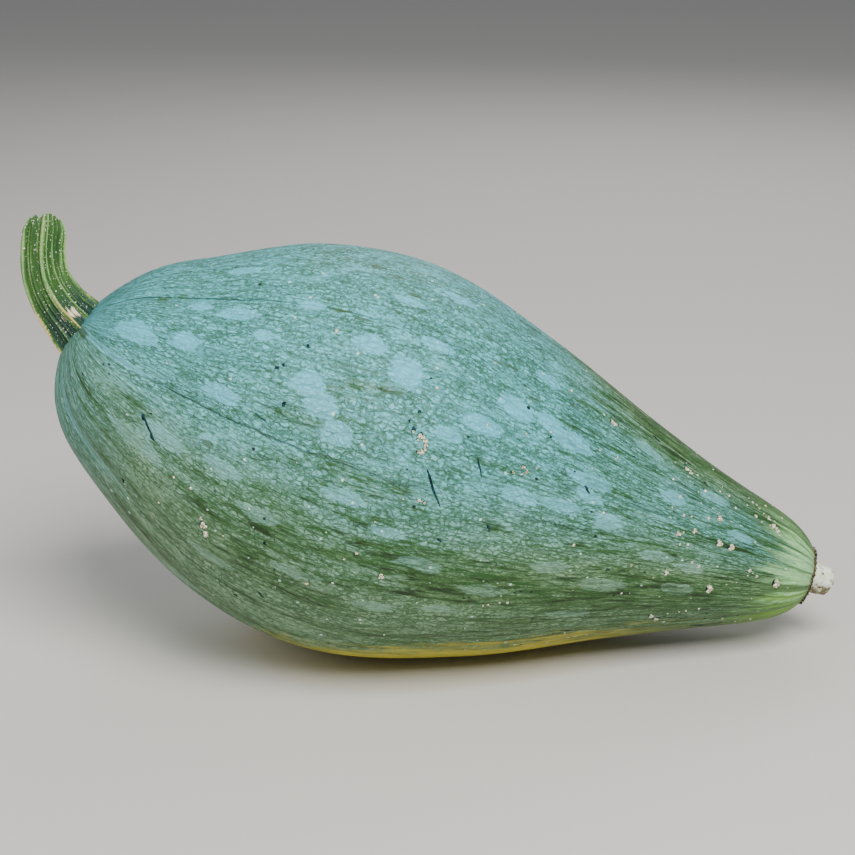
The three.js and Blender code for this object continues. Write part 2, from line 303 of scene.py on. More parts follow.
skin = bmesh.new()
bmesh.ops.create_uvsphere(skin, u_segments=RIND_COLUMNS, v_segments=RIND_ROWS, radius=1)
round_layer = skin.verts.layers.float_vector.new("rind_round")
wave_layer = skin.verts.layers.float_vector.new("lobe_wave")
blotch_layer = skin.verts.layers.float.new("blotch")
stain_layer = skin.verts.layers.float.new("stain")
for corner in skin.verts:
    phi = math.acos(max(-1, min(1, -corner.co.z)))
    place = (math.atan2(-corner.co.y, corner.co.x) / math.tau) % 1 * len(SEAMS)
    k = int(place + SEAM_SLACK) % len(SEAMS)
    share = max(0, place - int(place + SEAM_SLACK))
    following = SEAMS[k + 1] if k + 1 < len(SEAMS) else SEAMS[0] + 360
    angle = (SEAMS[k] + (following - SEAMS[k]) * share) % 360
    smooth = rind_point(phi, angle)
    middle, _, radius = station(round(phi, 6))[:3]
    corner.co = smooth + rind_relief(phi, angle, smooth) * (smooth - middle).normalized()
    corner.co.z = max(corner.co.z, 0)
    along = SPINE_LENGTH * (1 - math.cos(phi)) / 2
    turn = math.radians(angle)
    corner[round_layer] = (ROUND_RADIUS * math.cos(turn), ROUND_RADIUS * math.sin(turn), along)
    corner[wave_layer] = (math.cos(math.tau * share), math.sin(math.tau * share), phi / math.pi)
    corner[blotch_layer] = oval_value(BLOTCHES, along, angle, radius)
    corner[stain_layer] = oval_value(STAINS, along, angle, radius)
rind = finished("rind", skin)


def node(tree, kind, inputs=None, **settings):
    """A shader node whose inputs are given as values or as other nodes' outputs."""
    made = tree.nodes.new("ShaderNode" + kind)
    for name, value in settings.items():
        setattr(made, name, value)
    for key, value in (inputs or {}).items():
        if isinstance(value, bpy.types.NodeSocket):
            tree.links.new(value, made.inputs[key])
        else:
            made.inputs[key].default_value = value
    return made


def maths(tree, operation, first, second=0.0):
    return node(tree, "Math", {0: first, 1: second}, operation=operation).outputs[0]


def times(tree, first, second):
    return maths(tree, "MULTIPLY", first, second)


def plus(tree, first, second):
    return maths(tree, "ADD", first, second)


def minus(tree, first, second):
    return maths(tree, "SUBTRACT", first, second)


def swing(tree, value, reach):
    """A value between 0 and 1, turned into one that swings about 0."""
    return times(tree, minus(tree, value, 0.5), reach)


def between(tree, value, low, high, to_low=0.0, to_high=1.0):
    """Turns value into a soft step that is to_low at low and to_high at high."""
    limits = {"Value": value, "From Min": low, "From Max": high, "To Min": to_low, "To Max": to_high}
    return node(tree, "MapRange", limits, interpolation_type="SMOOTHSTEP").outputs[0]


def tint(tree, share, under, over):
    """The colour under with the colour over laid on it by a share."""
    return node(tree, "Mix", {0: share, 6: under, 7: over}, data_type="RGBA").outputs[2]


def stretched(tree, place, scale):
    """The place with each direction scaled."""
    return node(tree, "Mapping", {"Vector": place, "Scale": scale}).outputs[0]


def cloud(tree, place, scale, detail=3.0, roughness=0.55, distortion=0.0):
    values = {"Vector": place, "Scale": scale, "Detail": detail, "Roughness": roughness}
    return node(tree, "TexNoise", {**values, "Distortion": distortion}).outputs[0]


def attribute(tree, name, output="Vector"):
    return node(tree, "Attribute", attribute_name=name).outputs[output]


def make_flecks():
    """Scattered round flecks: each cell of the pattern holds one, and Share of the cells show theirs."""
    group = bpy.data.node_groups.new("flecks", "ShaderNodeTree")
    for name, kind, value in (("Vector", "NodeSocketVector", None), ("Cells", "NodeSocketFloat", 200.0),
                              ("Size", "NodeSocketFloat", 0.2), ("Share", "NodeSocketFloat", 0.2)):
        socket = group.interface.new_socket(name, in_out="INPUT", socket_type=kind)
        if value is not None:
            socket.default_value = value
    group.interface.new_socket("Mask", in_out="OUTPUT", socket_type="NodeSocketFloat")
    given = group.nodes.new("NodeGroupInput")
    result = group.nodes.new("NodeGroupOutput")
    cells = node(group, "TexVoronoi", {"Vector": given.outputs["Vector"], "Scale": given.outputs["Cells"]})
    picked = node(group, "SeparateColor", {0: cells.outputs["Color"]})
    shown = maths(group, "LESS_THAN", picked.outputs[0], given.outputs["Share"])
    size = times(group, given.outputs["Size"], between(group, picked.outputs[1], 0.0, 1.0, 0.5, 1.2))
    inner = times(group, size, 0.6)
    spot = between(group, cells.outputs["Distance"], inner, size, 1.0, 0.0)
    group.links.new(times(group, shown, spot), result.inputs["Mask"])
    return group


FLECKS = make_flecks()


def flecks(tree, place, cells, size, share):
    made = tree.nodes.new("ShaderNodeGroup")
    made.node_tree = FLECKS
    tree.links.new(place, made.inputs["Vector"])
    made.inputs["Cells"].default_value = cells
    made.inputs["Size"].default_value = size
    made.inputs["Share"].default_value = share
    return made.outputs["Mask"]


# Colours as linear light. The bloom's darker copies are painted shade for the lower side, and partly also
# the duller bloom where the sun didn't reach as the fruit grew.
BLOOM = (0.145, 0.57, 0.67, 1)
PAINTED_SHADE_BLOOM = (0.25, 0.42, 0.25, 1)
THICK_BLOOM = (0.15, 0.62, 0.82, 1)
PAINTED_SHADE_THICK_BLOOM = (0.25, 0.46, 0.34, 1)
LEAF_GREEN = (0.065, 0.15, 0.03, 1)
VEIN_GREEN = (0.022, 0.09, 0.015, 1)
DEEP_GREEN = (0.01, 0.035, 0.004, 1)
LIME = (0.22, 0.5, 0.045, 1)
PALE_LIME = (0.5, 0.98, 0.45, 1)
GROUND_YELLOW = (0.6, 0.52, 0.03, 1)
OLIVE_STAIN = (0.04, 0.085, 0.008, 1)
SEAM_DARK = (0.01, 0.04, 0.025, 1)
SPECK_DARK = (0.006, 0.02, 0.014, 1)
FLECK_PALE = (0.6, 0.85, 0.75, 1)
# The side of the tail that grew towards the sun, as an angle about the axis. The painted light on the bloom
# and on the lime tip also falls on this side.
LIT_SIDE = math.radians(308)

tree, waxy = finish_of(rind, "waxy_rind")
place = attribute(tree, "rind_round")
wave = node(tree, "SeparateXYZ", {0: attribute(tree, "lobe_wave")})
where = node(tree, "SeparateXYZ", {0: place})
height = node(tree, "SeparateXYZ", {0: node(tree, "TexCoord").outputs["Object"]}).outputs["Z"]
upness = times(tree, where.outputs["X"], 1 / ROUND_RADIUS)
along = where.outputs["Z"]

# Patterns drawn out along the fruit, from broad clouds to fine threads and grit.
broad = cloud(tree, stretched(tree, place, (1, 1, 0.35)), 30, 3)
flow = cloud(tree, stretched(tree, place, (1, 1, 0.13)), 110, 5, 0.65, 0.8)
torn = cloud(tree, stretched(tree, place, (1, 1, 0.5)), 95, 4, 0.7)
streak = cloud(tree, stretched(tree, place, (1, 1, 0.15)), 280, 4, 0.65, 0.6)
thread = cloud(tree, stretched(tree, place, (1, 1, 0.12)), 700, 3, 0.65, 0.4)
grit = cloud(tree, stretched(tree, place, (1, 1, 0.45)), 1000, 2, 0.6, 0.5)
warp = node(tree, "TexNoise", {"Vector": place, "Scale": 330.0, "Detail": 3.0}).outputs["Color"]
shifted = node(tree, "VectorMath", {0: warp, 1: (0.5, 0.5, 0.5)}, operation="SUBTRACT").outputs[0]
bent = node(tree, "VectorMath", {0: shifted, 1: (0.003, 0.003, 0.007)}, operation="MULTIPLY").outputs[0]
net_place = node(tree, "VectorMath", {0: place, 1: bent}, operation="ADD").outputs[0]


def net(scale, vein, length):
    """Veins along the edges of cells, which a length under 1 draws out along the fruit."""
    cells = node(tree, "TexVoronoi", {"Vector": stretched(tree, net_place, (1, 1, length)), "Scale": scale},
                 feature="DISTANCE_TO_EDGE")
    return between(tree, cells.outputs["Distance"], 0.0, vein, 1.0, 0.0)


coarse_net = net(165, 0.07, 0.45)
fine_net = net(440, 0.25, 0.62)
cell_colour = node(tree, "TexVoronoi", {"Vector": stretched(tree, net_place, (1, 1, 0.45)), "Scale": 165.0})
pale_cell = node(tree, "SeparateColor", {0: cell_colour.outputs["Color"]}).outputs[0]

# Where the bloom lies thick: above, on the side of the tail that was lit, and near the stem.
tail = between(tree, along, 0.17, 0.31)
to_sun = (math.cos(LIT_SIDE) / ROUND_RADIUS, math.sin(LIT_SIDE) / ROUND_RADIUS, 0)
lit = node(tree, "VectorMath", {0: place, 1: to_sun}, operation="DOT_PRODUCT").outputs["Value"]
facing = maths(tree, "MAXIMUM", minus(tree, times(tree, lit, 3.6), 2.75), -0.55)
facing = node(tree, "Mix", {0: tail, 2: upness, 3: facing}, data_type="FLOAT").outputs[0]
# Painted light and shade: a share that is high above, on the lit side and near the stem and low below, which
# blends the bloom from its darker copy to its lighter one.
painted_light_and_shade = plus(tree, facing, times(tree, broad, 0.5))
painted_light_and_shade = between(tree, minus(tree, painted_light_and_shade, times(tree, tail, 0.62)), -0.25, 0.9)
painted_light_and_shade = maths(tree, "MAXIMUM", painted_light_and_shade, between(tree, along, 0.01, 0.07, 0.5, 0.0))
cover = plus(tree, times(tree, facing, 0.39), 0.5)
cover = plus(tree, cover, between(tree, along, 0.02, 0.14, 0.2, 0.0))
cover = plus(tree, cover, between(tree, upness, -0.6, -0.15, 0.2, 0.0))
cover = plus(tree, cover, swing(tree, broad, 1.1))
cover = plus(tree, cover, swing(tree, flow, 2.1))
cover = minus(tree, cover, between(tree, along, 0.2, 0.36, 0.0, 0.3))
cover = between(tree, cover, 0.2, 0.64, 0.16, 1.0)
bare = minus(tree, 1.0, cover)

# The bloom over the green, with paler cells and threads and the thick pale blotches.
# The bloom, darker below and lighter above and on the lit side: painted shade and light.
bloom = tint(tree, painted_light_and_shade, PAINTED_SHADE_BLOOM, BLOOM)
colour = tint(tree, cover, LEAF_GREEN, bloom)
ragged = plus(tree, times(tree, torn, 1.7), times(tree, streak, 0.8))
patch = plus(tree, attribute(tree, "blotch", "Fac"), ragged)
patch = times(tree, between(tree, patch, 1.36, 1.5), between(tree, painted_light_and_shade, 0.0, 0.8, 0.8, 1.0))
open_skin = minus(tree, 1.0, times(tree, patch, 0.62))
lighter = times(tree, between(tree, pale_cell, 0.45, 0.6), minus(tree, 1.0, coarse_net))
lighter = times(tree, lighter, between(tree, broad, 0.4, 0.55, 0.25, 0.8))
colour = tint(tree, times(tree, lighter, 0.6), colour, bloom)
pale_thread = times(tree, between(tree, streak, 0.36, 0.5, 1.0, 0.0), times(tree, bare, 0.75))
colour = tint(tree, pale_thread, colour, bloom)
# The thick blotches get the same painted light and shade.
colour = tint(tree, times(tree, patch, 0.7), colour, tint(tree, painted_light_and_shade, PAINTED_SHADE_THICK_BLOOM, THICK_BLOOM))

# Green veins, grit, threads and streaks, which the blotches half hide.
veins = maths(tree, "MAXIMUM", times(tree, coarse_net, 0.6), times(tree, fine_net, 0.78))
veins = times(tree, veins, between(tree, torn, 0.36, 0.56, 0.4, 1.0))
veins = times(tree, veins, open_skin)
colour = tint(tree, veins, colour, VEIN_GREEN)
gritty = times(tree, between(tree, grit, 0.48, 0.64), times(tree, open_skin, 0.65))
colour = tint(tree, gritty, colour, VEIN_GREEN)
worn = plus(tree, times(tree, tail, 0.45), 0.6)
dark_thread = times(tree, between(tree, thread, 0.48, 0.6), plus(tree, bare, worn))
colour = tint(tree, times(tree, times(tree, dark_thread, open_skin), 0.75), colour, VEIN_GREEN)
streaky = plus(tree, times(tree, tail, 0.3), 0.28)
dark_streak = times(tree, between(tree, streak, 0.52, 0.66), plus(tree, bare, streaky))
dark_streak = times(tree, dark_streak, open_skin)
colour = tint(tree, dark_streak, colour, DEEP_GREEN)

# The dark lines in the seams, and the olive stains.
wobble = swing(tree, cloud(tree, place, 90), 0.35)
across_seam = maths(tree, "ABSOLUTE", plus(tree, wave.outputs["Y"], wobble))
in_seam = times(tree, between(tree, across_seam, 0.012, 0.06, 1.0, 0.0),
                maths(tree, "GREATER_THAN", wave.outputs["X"], 0.0))
in_seam = times(tree, in_seam, between(tree, along, 0.02, 0.3, 0.95, 0.0))
in_seam = times(tree, in_seam, between(tree, broad, 0.38, 0.52))
colour = tint(tree, times(tree, in_seam, open_skin), colour, SEAM_DARK)
grain = plus(tree, times(tree, streak, 1.2), times(tree, thread, 1.6))
stain = between(tree, plus(tree, attribute(tree, "stain", "Fac"), grain), 1.6, 1.9)
colour = tint(tree, times(tree, stain, 0.75), colour, OLIVE_STAIN)

# The lime tip with its green stripes, and the yellow spot where the fruit lay on the ground.
stripe = cloud(tree, stretched(tree, place, (1, 1, 0.05)), 62, 4, 0.6)
stripe = plus(tree, stripe, swing(tree, torn, 0.35))
tip = plus(tree, along, swing(tree, flow, 0.06))
tip = plus(tree, tip, swing(tree, torn, 0.03))
tip = plus(tree, tip, times(tree, minus(tree, 0.75, lit), 0.004))
colour = tint(tree, between(tree, tip, 0.335, 0.365, 0.0, 0.6), colour, LEAF_GREEN)
ripe_tip = times(tree, between(tree, tip, 0.34, 0.366), minus(tree, 1.0, times(tree, veins, 0.4)))
# The lime is paler on the lit side: partly the tip's own pale ripening, partly painted light.
lime = tint(tree, between(tree, plus(tree, torn, times(tree, lit, 0.4)), 0.64, 0.88), LIME, PALE_LIME)
colour = tint(tree, times(tree, ripe_tip, between(tree, stripe, 0.42, 0.54, 0.12, 0.92)), colour, lime)
ground = plus(tree, height, swing(tree, flow, 0.026))
ground = plus(tree, ground, swing(tree, torn, 0.03))
ground = minus(tree, ground, between(tree, along, 0.05, 0.14, 0.014, 0.0))
ground = times(tree, between(tree, ground, 0.011, 0.028, 1.0, 0.0),
               between(tree, along, 0.25, 0.33, 1.0, 0.1))
colour = tint(tree, times(tree, ground, 0.9), colour, GROUND_YELLOW)

dark_specks = flecks(tree, place, 150, 0.15, 0.12)
pale_specks = flecks(tree, place, 260, 0.2, 0.1)
colour = tint(tree, dark_specks, colour, SPECK_DARK)
colour = tint(tree, times(tree, pale_specks, 0.85), colour, FLECK_PALE)
tree.links.new(colour, waxy.inputs["Base Color"])
gloss = plus(tree, times(tree, cover, 0.14), times(tree, streak, 0.14))
tree.links.new(plus(tree, gloss, 0.32), waxy.inputs["Roughness"])
waxy.inputs["Specular IOR Level"].default_value = 0.35

relief = times(tree, coarse_net, -0.6)
relief = plus(tree, relief, times(tree, fine_net, -0.4))
relief = plus(tree, relief, times(tree, thread, 0.6))
relief = plus(tree, relief, times(tree, streak, 0.5))
relief = minus(tree, relief, times(tree, dark_specks, 0.8))
relief = plus(tree, relief, times(tree, patch, 0.25))
bump = node(tree, "Bump", {"Height": relief, "Distance": 0.0005, "Strength": 0.8})
tree.links.new(bump.outputs[0], waxy.inputs["Normal"])
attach(rind, "root")
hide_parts("fruit")

# The cork warts
# Small lumps of dry cream cork that broke through the skin where it was rubbed or bitten. They stand in
# clusters, the largest on the near flank, and grow thicker towards the flower end.

# Warts: length along the axis, angle, radius and rise, in millimetres and degrees.
WARTS = (
    (164.6, 297, 1.5, 1.1), (166.8, 296.4, 1.2, 1.1), (167.9, 295.3, 0.9, 1), (167.9, 294.2, 0.9, 1),
    (167.1, 293.3, 1.1, 1), (165.5, 293, 0.9, 0.9), (163.6, 295.8, 0.7, 0.8), (160.6, 297.5, 0.8, 0.8),
    (89, 249.5, 1.6, 1.2), (91.5, 247, 1.4, 1), (87, 251, 1, 0.8), (172.9, 280.8, 1, 0.8),
    (175.3, 280.6, 0.8, 0.7),
    (210.8, 296.2, 0.9, 0.9), (214.9, 298.8, 1, 0.9), (217.3, 297.8, 1, 0.9), (215, 296.6, 0.8, 0.8),
    (320.3, 295, 1.5, 1), (326.7, 295, 1.6, 1), (355, 273.8, 1.9, 1.1), (322.1, 263.3, 1.9, 1),
    (318.5, 311.5, 1.4, 0.9), (306.6, 297.8, 1.2, 0.8), (298.6, 293.8, 1.3, 0.8), (298, 334.2, 1.2, 0.9),
    (300.2, 333.6, 1, 0.8), (298, 271.2, 1.2, 0.8), (349, 327.5, 1.5, 0.9), (350.8, 325.5, 1.2, 0.9),
    (254.9, 333.2, 1.2, 0.9), (256.6, 332.8, 1, 0.8), (167.9, 257, 1.3, 0.9), (154, 262, 0.9, 0.8),
    (299.3, 239.8, 1.3, 0.8), (302.7, 236, 1.3, 0.8),
)
# Lone specks of cork: length along the axis and angle.
SPECKS = (
    (291, 322.2), (304, 334.8), (295.9, 314.2), (292.5, 306.2), (299.3, 304.5), (303.3, 305.5), (312.3, 309),
    (300.7, 288.2), (304.6, 289.2), (309.2, 279.5), (313, 277.8), (279.7, 273), (248.7, 278),
    (258.8, 292.8),
    (336, 229), (350.4, 224.2), (358.1, 290), (344, 277.8), (339.6, 281.2), (326.7, 326.5), (338.1, 328.5),
    (341.6, 326.5), (345.4, 335), (344, 348.5), (309.2, 326.5), (317.3, 332.8), (322.7, 333.8),
    (165.5, 311.2),
    (192.7, 306.8), (113.1, 318.5), (190.2, 327.2), (231.1, 334.8), (223.9, 313.5), (212.4, 309.2),
    (78.1, 258.2), (69.6, 257.5), (68.3, 244.3), (98.3, 250), (150, 259.2), (149.2, 250.8), (104.1, 262.5),
    (138.8, 247.5), (152.4, 10.2), (156.5, 12.2), (159.7, 11.5), (164.6, 11.8), (168.7, 9.5),
)
SPECK_RADIUS = (0.6, 1.1)
SPECK_RISE = 0.9
# Rows: the lengths and the angles from and to which they run, the count and the radius.
WART_ROWS = (
    (334, 346, 345, 334, 7, 0.7), (345, 352, 333, 322, 7, 0.8), (290, 312, 334, 318, 4, 0.6),
    (216, 228, 249, 253, 4, 0.7), (312, 320, 243, 246, 3, 0.7), (330, 342, 268, 279, 4, 0.6),
)
ROW_RISE = 0.7
LOOSE_WARTS = 90
LOOSE_RADIUS = (0.3, 0.65)
LOOSE_RISE = 0.5
LOOSE_FROM = 0.12
LOOSE_REACH = 0.83
LOOSE_ANGLES = (215, 500)
# A wart wider than the first of these is of three domes, and wider than the second it is finer too.
TRIPLE_WART_RADIUS = 0.85
FINE_WART_RADIUS = 1.2
WART_STEEPNESS = 1.5
PART_SPREAD = 0.55
PART_SIZES = (0.55, 0.85)
PART_ROUGHNESS = 0.4
PART_SINK = 0.35
CORK = (0.6, 0.49, 0.15, 1)
CORK_WHITE = (1, 1, 0.78, 1)
CORK_CRACK = (0.1, 0.07, 0.03, 1)

DRAW_SEED = 12
draw = random.Random(DRAW_SEED)


def skin_frame(along, angle):
    """A point of the skin with its directions lengthwise, round the fruit and outwards."""
    phi = phi_at(along)
    middle = rind_point(phi, angle)
    ahead = (rind_point(phi + 0.01, angle) - middle).normalized()
    round_it = (rind_point(phi, angle + 1) - middle).normalized()
    out = ahead.cross(round_it).normalized()
    return middle + rind_relief(phi, angle, middle) * out, ahead, out.cross(ahead), out


def lump(cork, along, angle, radius, rise, parts):
    """A wart of several rough domes that lean on each other, sunk into the skin. Sizes in millimetres."""
    for part in range(parts):
        spread = 0 if parts == 1 else radius * PART_SPREAD
        middle, ahead, round_it, out = skin_frame(along / 1000, angle)
        turn = math.tau * part / parts + draw.uniform(-0.5, 0.5)
        middle = middle + spread / 1000 * (math.cos(turn) * ahead + math.sin(turn) * round_it)
        size = radius / 1000 * draw.uniform(*PART_SIZES) if parts > 1 else radius / 1000
        fineness = 2 if radius > FINE_WART_RADIUS else 1
        made = bmesh.ops.create_icosphere(cork, subdivisions=fineness, radius=1)
        for corner in made["verts"]:
            rough = 1 + PART_ROUGHNESS * noise.noise(corner.co * 1.7 + Vector((along, angle, part)))
            local = corner.co * rough
            corner.co = (middle + size * local.x * ahead + size * local.y * round_it
                         + (rise * local.z - PART_SINK * rise) / 1000 * out)


cork = bmesh.new()
for along, angle, radius, rise in WARTS:
    lump(cork, along, angle, radius, rise * WART_STEEPNESS, 3 if radius > TRIPLE_WART_RADIUS else 1)
for along, angle in SPECKS:
    lump(cork, along, angle, draw.uniform(*SPECK_RADIUS), SPECK_RISE, 1)
for start, end, from_angle, to_angle, count, radius in WART_ROWS:
    for k in range(count):
        part = (k + draw.uniform(-0.3, 0.3)) / max(1, count - 1)
        angle = from_angle + (to_angle - from_angle) * part + draw.uniform(-2, 2)
        lump(cork, start + (end - start) * part, angle, radius * draw.uniform(0.6, 1.2), ROW_RISE, 1)
for k in range(LOOSE_WARTS):
    along = SPINE_LENGTH * 1000 * (LOOSE_FROM + LOOSE_REACH * math.sqrt(draw.random()))
    angle = draw.uniform(*LOOSE_ANGLES) % 360
    lump(cork, along, angle, draw.uniform(*LOOSE_RADIUS), LOOSE_RISE, 1)
cork_warts = finished("cork_warts", cork)

tree, dry = finish_of(cork_warts, "dry_cork")
place = node(tree, "TexCoord").outputs["Object"]
colour = tint(tree, between(tree, cloud(tree, place, 900, 3), 0.34, 0.48), CORK, CORK_WHITE)
grains = node(tree, "TexVoronoi", {"Vector": place, "Scale": 700.0}, feature="DISTANCE_TO_EDGE")
cracks = between(tree, grains.outputs["Distance"], 0.0, 0.16, 1.0, 0.0)
colour = tint(tree, times(tree, cracks, 0.75), colour, CORK_CRACK)
tree.links.new(colour, dry.inputs["Base Color"])
dry.inputs["Roughness"].default_value = 0.85
bump = node(tree, "Bump", {"Height": times(tree, cracks, -1.0), "Distance": 0.0003, "Strength": 0.8})
tree.links.new(bump.outputs[0], dry.inputs["Normal"])
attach(cork_warts, "root")

# The dark scratches, specks and wart shadows
# Healed scratches and insect marks, black-green and only a hair above the skin. Each is one thin closed
# lens that lies along the rind between two places. Each wart has a dark lens under it too: partly the
# dark rim round the wart and partly painted shadow of it.

# Scratches: length along the axis and angle at both ends, and half the width in millimetres.
SCRATCHES = (
    (171.5, 289.5, 183, 280.3, 0.65), (192.5, 297, 197, 291.8, 0.5), (45.5, 269.6, 48.5, 268.4, 1.2),
    (46.5, 269.4, 55.5, 264, 0.6), (52.5, 265.6, 55.5, 263.8, 0.9), (121, 236.5, 125, 234.6, 0.6),
    (102, 312, 104, 311, 0.7), (92, 303, 94, 302.4, 0.9), (94.5, 304.2, 96, 303.8, 0.8),
    (101, 294, 102.5, 293, 1.1),
    (91, 288.6, 98, 287, 0.25), (50, 237.6, 52, 236.4, 1), (160, 303.4, 161.4, 303.1, 0.8),
    (159.5, 298.8, 161.5, 298, 1), (157, 300, 158, 299.6, 0.6), (161, 313.2, 162, 313, 0.6),
    (246, 300.4, 249.5, 298.2, 0.7), (224, 312, 225, 311.7, 0.7), (278, 343.3, 283, 342, 0.6),
    (258, 233, 266, 231, 0.5), (322, 222, 330, 218, 0.55), (112.5, 229, 114, 228.5, 0.7),
    (115, 255.2, 116.5, 254.4, 0.8), (206, 279, 208, 277, 0.7), (268, 270, 270, 269.4, 0.7),
    (300, 236, 308, 239, 0.4), (296, 337, 299, 336, 0.5), (186, 272, 188, 271, 0.6),
)
WART_SHADE_REACH = 1.12
WART_SHADE_SLIMNESS = 0.85
LENS_RISE = 0.00014
LENS_BEND = 0.5
LENS_HEAD = 1.2
LENS_TAPER = 0.6
LOOSE_SPECKS = 70
LOOSE_SPECK_SHARES = (0.05, 0.95)
LOOSE_SPECK_ANGLES = (200, 520)
LOOSE_LENGTH = (0.5, 1.6)
LOOSE_HALF_WIDTH = (0.2, 0.5)
MARK_BLACK = (0.002, 0.01, 0.01, 1)
MARK_TEAL = (0.012, 0.05, 0.065, 1)


def dark_lens(marks, along, angle, to_along, to_angle, half_width):
    made = bmesh.ops.create_uvsphere(marks, u_segments=8, v_segments=14, radius=1)
    start = skin_frame(along / 1000, angle)[0]
    end = skin_frame(to_along / 1000, to_angle)[0]
    direction = (end - start).normalized()
    for corner in made["verts"]:
        part = (corner.co.z + 1) / 2
        middle, ahead, round_it, out = skin_frame((along + (to_along - along) * part) / 1000,
                                                  angle + (to_angle - angle) * part)
        across = out.cross(direction).normalized()
        bend = LENS_BEND * math.sin(5 * part + along) * (1 - abs(corner.co.z))
        bowed = half_width / 1000 * (corner.co.y * (LENS_HEAD - LENS_TAPER * part) + bend)
        corner.co = middle + bowed * across + LENS_RISE * corner.co.x * out


marks = bmesh.new()
for values in SCRATCHES:
    dark_lens(marks, *values)
# Under each wart, a dark lens: partly the dark rim round the wart, partly painted shadow of it.
for along, angle, radius, rise in WARTS:
    reach = WART_SHADE_REACH * radius
    start = along - reach * draw.uniform(0.9, 1.15)
    dark_lens(marks, start, angle + 0.1, along + reach, angle + draw.uniform(-0.3, 0.2),
            reach * WART_SHADE_SLIMNESS)
for k in range(LOOSE_SPECKS):
    along = SPINE_LENGTH * 1000 * draw.uniform(*LOOSE_SPECK_SHARES)
    angle = draw.uniform(*LOOSE_SPECK_ANGLES) % 360
    to_along = along + draw.uniform(*LOOSE_LENGTH)
    dark_lens(marks, along, angle, to_along, angle + draw.uniform(-0.6, 0.6), draw.uniform(*LOOSE_HALF_WIDTH))
bmesh.ops.recalc_face_normals(marks, faces=marks.faces)
dark_marks = finished("dark_marks", marks)

# One dark finish for the scratches, the specks and the painted wart shadows.
tree, healed_and_shade = finish_of(dark_marks, "healed_mark_and_painted_shade")
place = node(tree, "TexCoord").outputs["Object"]
colour = tint(tree, between(tree, cloud(tree, place, 700, 3), 0.42, 0.6), MARK_BLACK, MARK_TEAL)
tree.links.new(colour, healed_and_shade.inputs["Base Color"])
healed_and_shade.inputs["Roughness"].default_value = 0.7
healed_and_shade.inputs["Specular IOR Level"].default_value = 0.15
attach(dark_marks, "root")

# The stem
# The woody stalk that the fruit hung from, cut off short: ridged and furrowed, bent up from its spread
# foot, with a slanting cut whose rim is torn and whose middle has dried hollow.

# Its middle line as X and Z from inside the fruit to the cut, and its half-width at equal steps.
STEM_LINE = ((-0.16, 0.1535), (-0.165, 0.1605), (-0.174, 0.1725), (-0.179, 0.184), (-0.18, 0.196),
             (-0.178, 0.211))
STEM_HALF_WIDTH = (0.014, 0.0134, 0.012, 0.0111, 0.0102, 0.0096, 0.0093, 0.009)
STEM_RIDGES = 5
RIDGE_RISE = 0.085
LESSER_RIDGE_RISE = 0.05
FINE_RIDGES = 23
FINE_RIDGE_RISE = 0.05
SIDE_RIDGES = 37
SIDE_RIDGE_SHARE = 0.45
RIDGE_TURN = 37
RIDGE_TWIST = 13
STEM_CURVE_STEPS = 40
STEM_COLUMNS = 230
STEM_ROWS = 130
CUT_SLANT = 0.0055
CUT_DISH = 0.002
CUT_NOTCH = 0.0028
CUT_REACH = 0.7
NOTCH_ANGLE = 286
NOTCH_HALF_WIDTH = 11
CUT_RINGS = 14
RIM_ROUNDING = 0.2
RIM_REACH = 0.1
OUTER_SIDE_DROP = 0.0018
RIM_TEARS_ROUND = 5
RIM_TEAR = 0.0009
RIM_RIDGE_TEAR = 0.00035
CUT_PITS = 0.0006
# How far the fine ridges wander round and along, how much they rise and fade, and how uneven the
# stalk is, as shares of its half-width.
WANDER_ROUND = 2.2
WANDER_ALONG = 1.5
RIDGE_WANDER = 2.4
SIDE_RIDGE_WANDER = 4
RIDGE_MEAN = 0.7
RIDGE_CHANGE = 0.9
SWELLING = 0.03
PITTING = 0.012
# The colours read the height of the main ridges from this lowest value, over this span.
RIDGE_LOWEST = -0.068
RIDGE_SPAN = 0.2
GRAIN_RADIUS = 0.011


def stem_line_table():
    """The stem's middle line as a centripetal curve through its points, with the length before each."""
    points = [Vector((x, 0, z)) for x, z in STEM_LINE]
    points = [2 * points[0] - points[1], *points, 2 * points[-1] - points[-2]]
    table = []
    length = 0
    for k in range(1, len(points) - 2):
        p0, p1, p2, p3 = points[k - 1:k + 3]
        gaps = [max((b - a).length**0.5, 1e-4) for a, b in ((p0, p1), (p1, p2), (p2, p3))]
        leave = (p1 - p0) / gaps[0] - (p2 - p0) / (gaps[0] + gaps[1]) + (p2 - p1) / gaps[1]
        arrive = (p2 - p1) / gaps[1] - (p3 - p1) / (gaps[1] + gaps[2]) + (p3 - p2) / gaps[2]
        leave *= gaps[1]
        arrive *= gaps[1]
        for step in range(STEM_CURVE_STEPS):
            t = step / STEM_CURVE_STEPS
            point = p1 + leave * t + (3 * (p2 - p1) - 2 * leave - arrive) * t * t
            point += (2 * (p1 - p2) + leave + arrive) * t**3
            if table:
                length += (point - table[-1][1]).length
            table.append((length, point))
    length += (points[-2] - table[-1][1]).length
    table.append((length, points[-2]))
    return table


STALK = stem_line_table()


@lru_cache(None)
def stalk_at(share):
    """The stem's middle line at a share of its length: a point, the way on, and the outer side."""
    wanted = share * STALK[-1][0]
    k = 0
    while k < len(STALK) - 2 and STALK[k + 1][0] < wanted:
        k += 1
    part = (wanted - STALK[k][0]) / (STALK[k + 1][0] - STALK[k][0])
    before = STALK[max(0, k - 3)][1]
    after = STALK[min(len(STALK) - 1, k + 4)][1]
    ahead = (after - before).normalized()
    return STALK[k][1].lerp(STALK[k + 1][1], part), ahead, Vector((-ahead.z, 0, ahead.x))


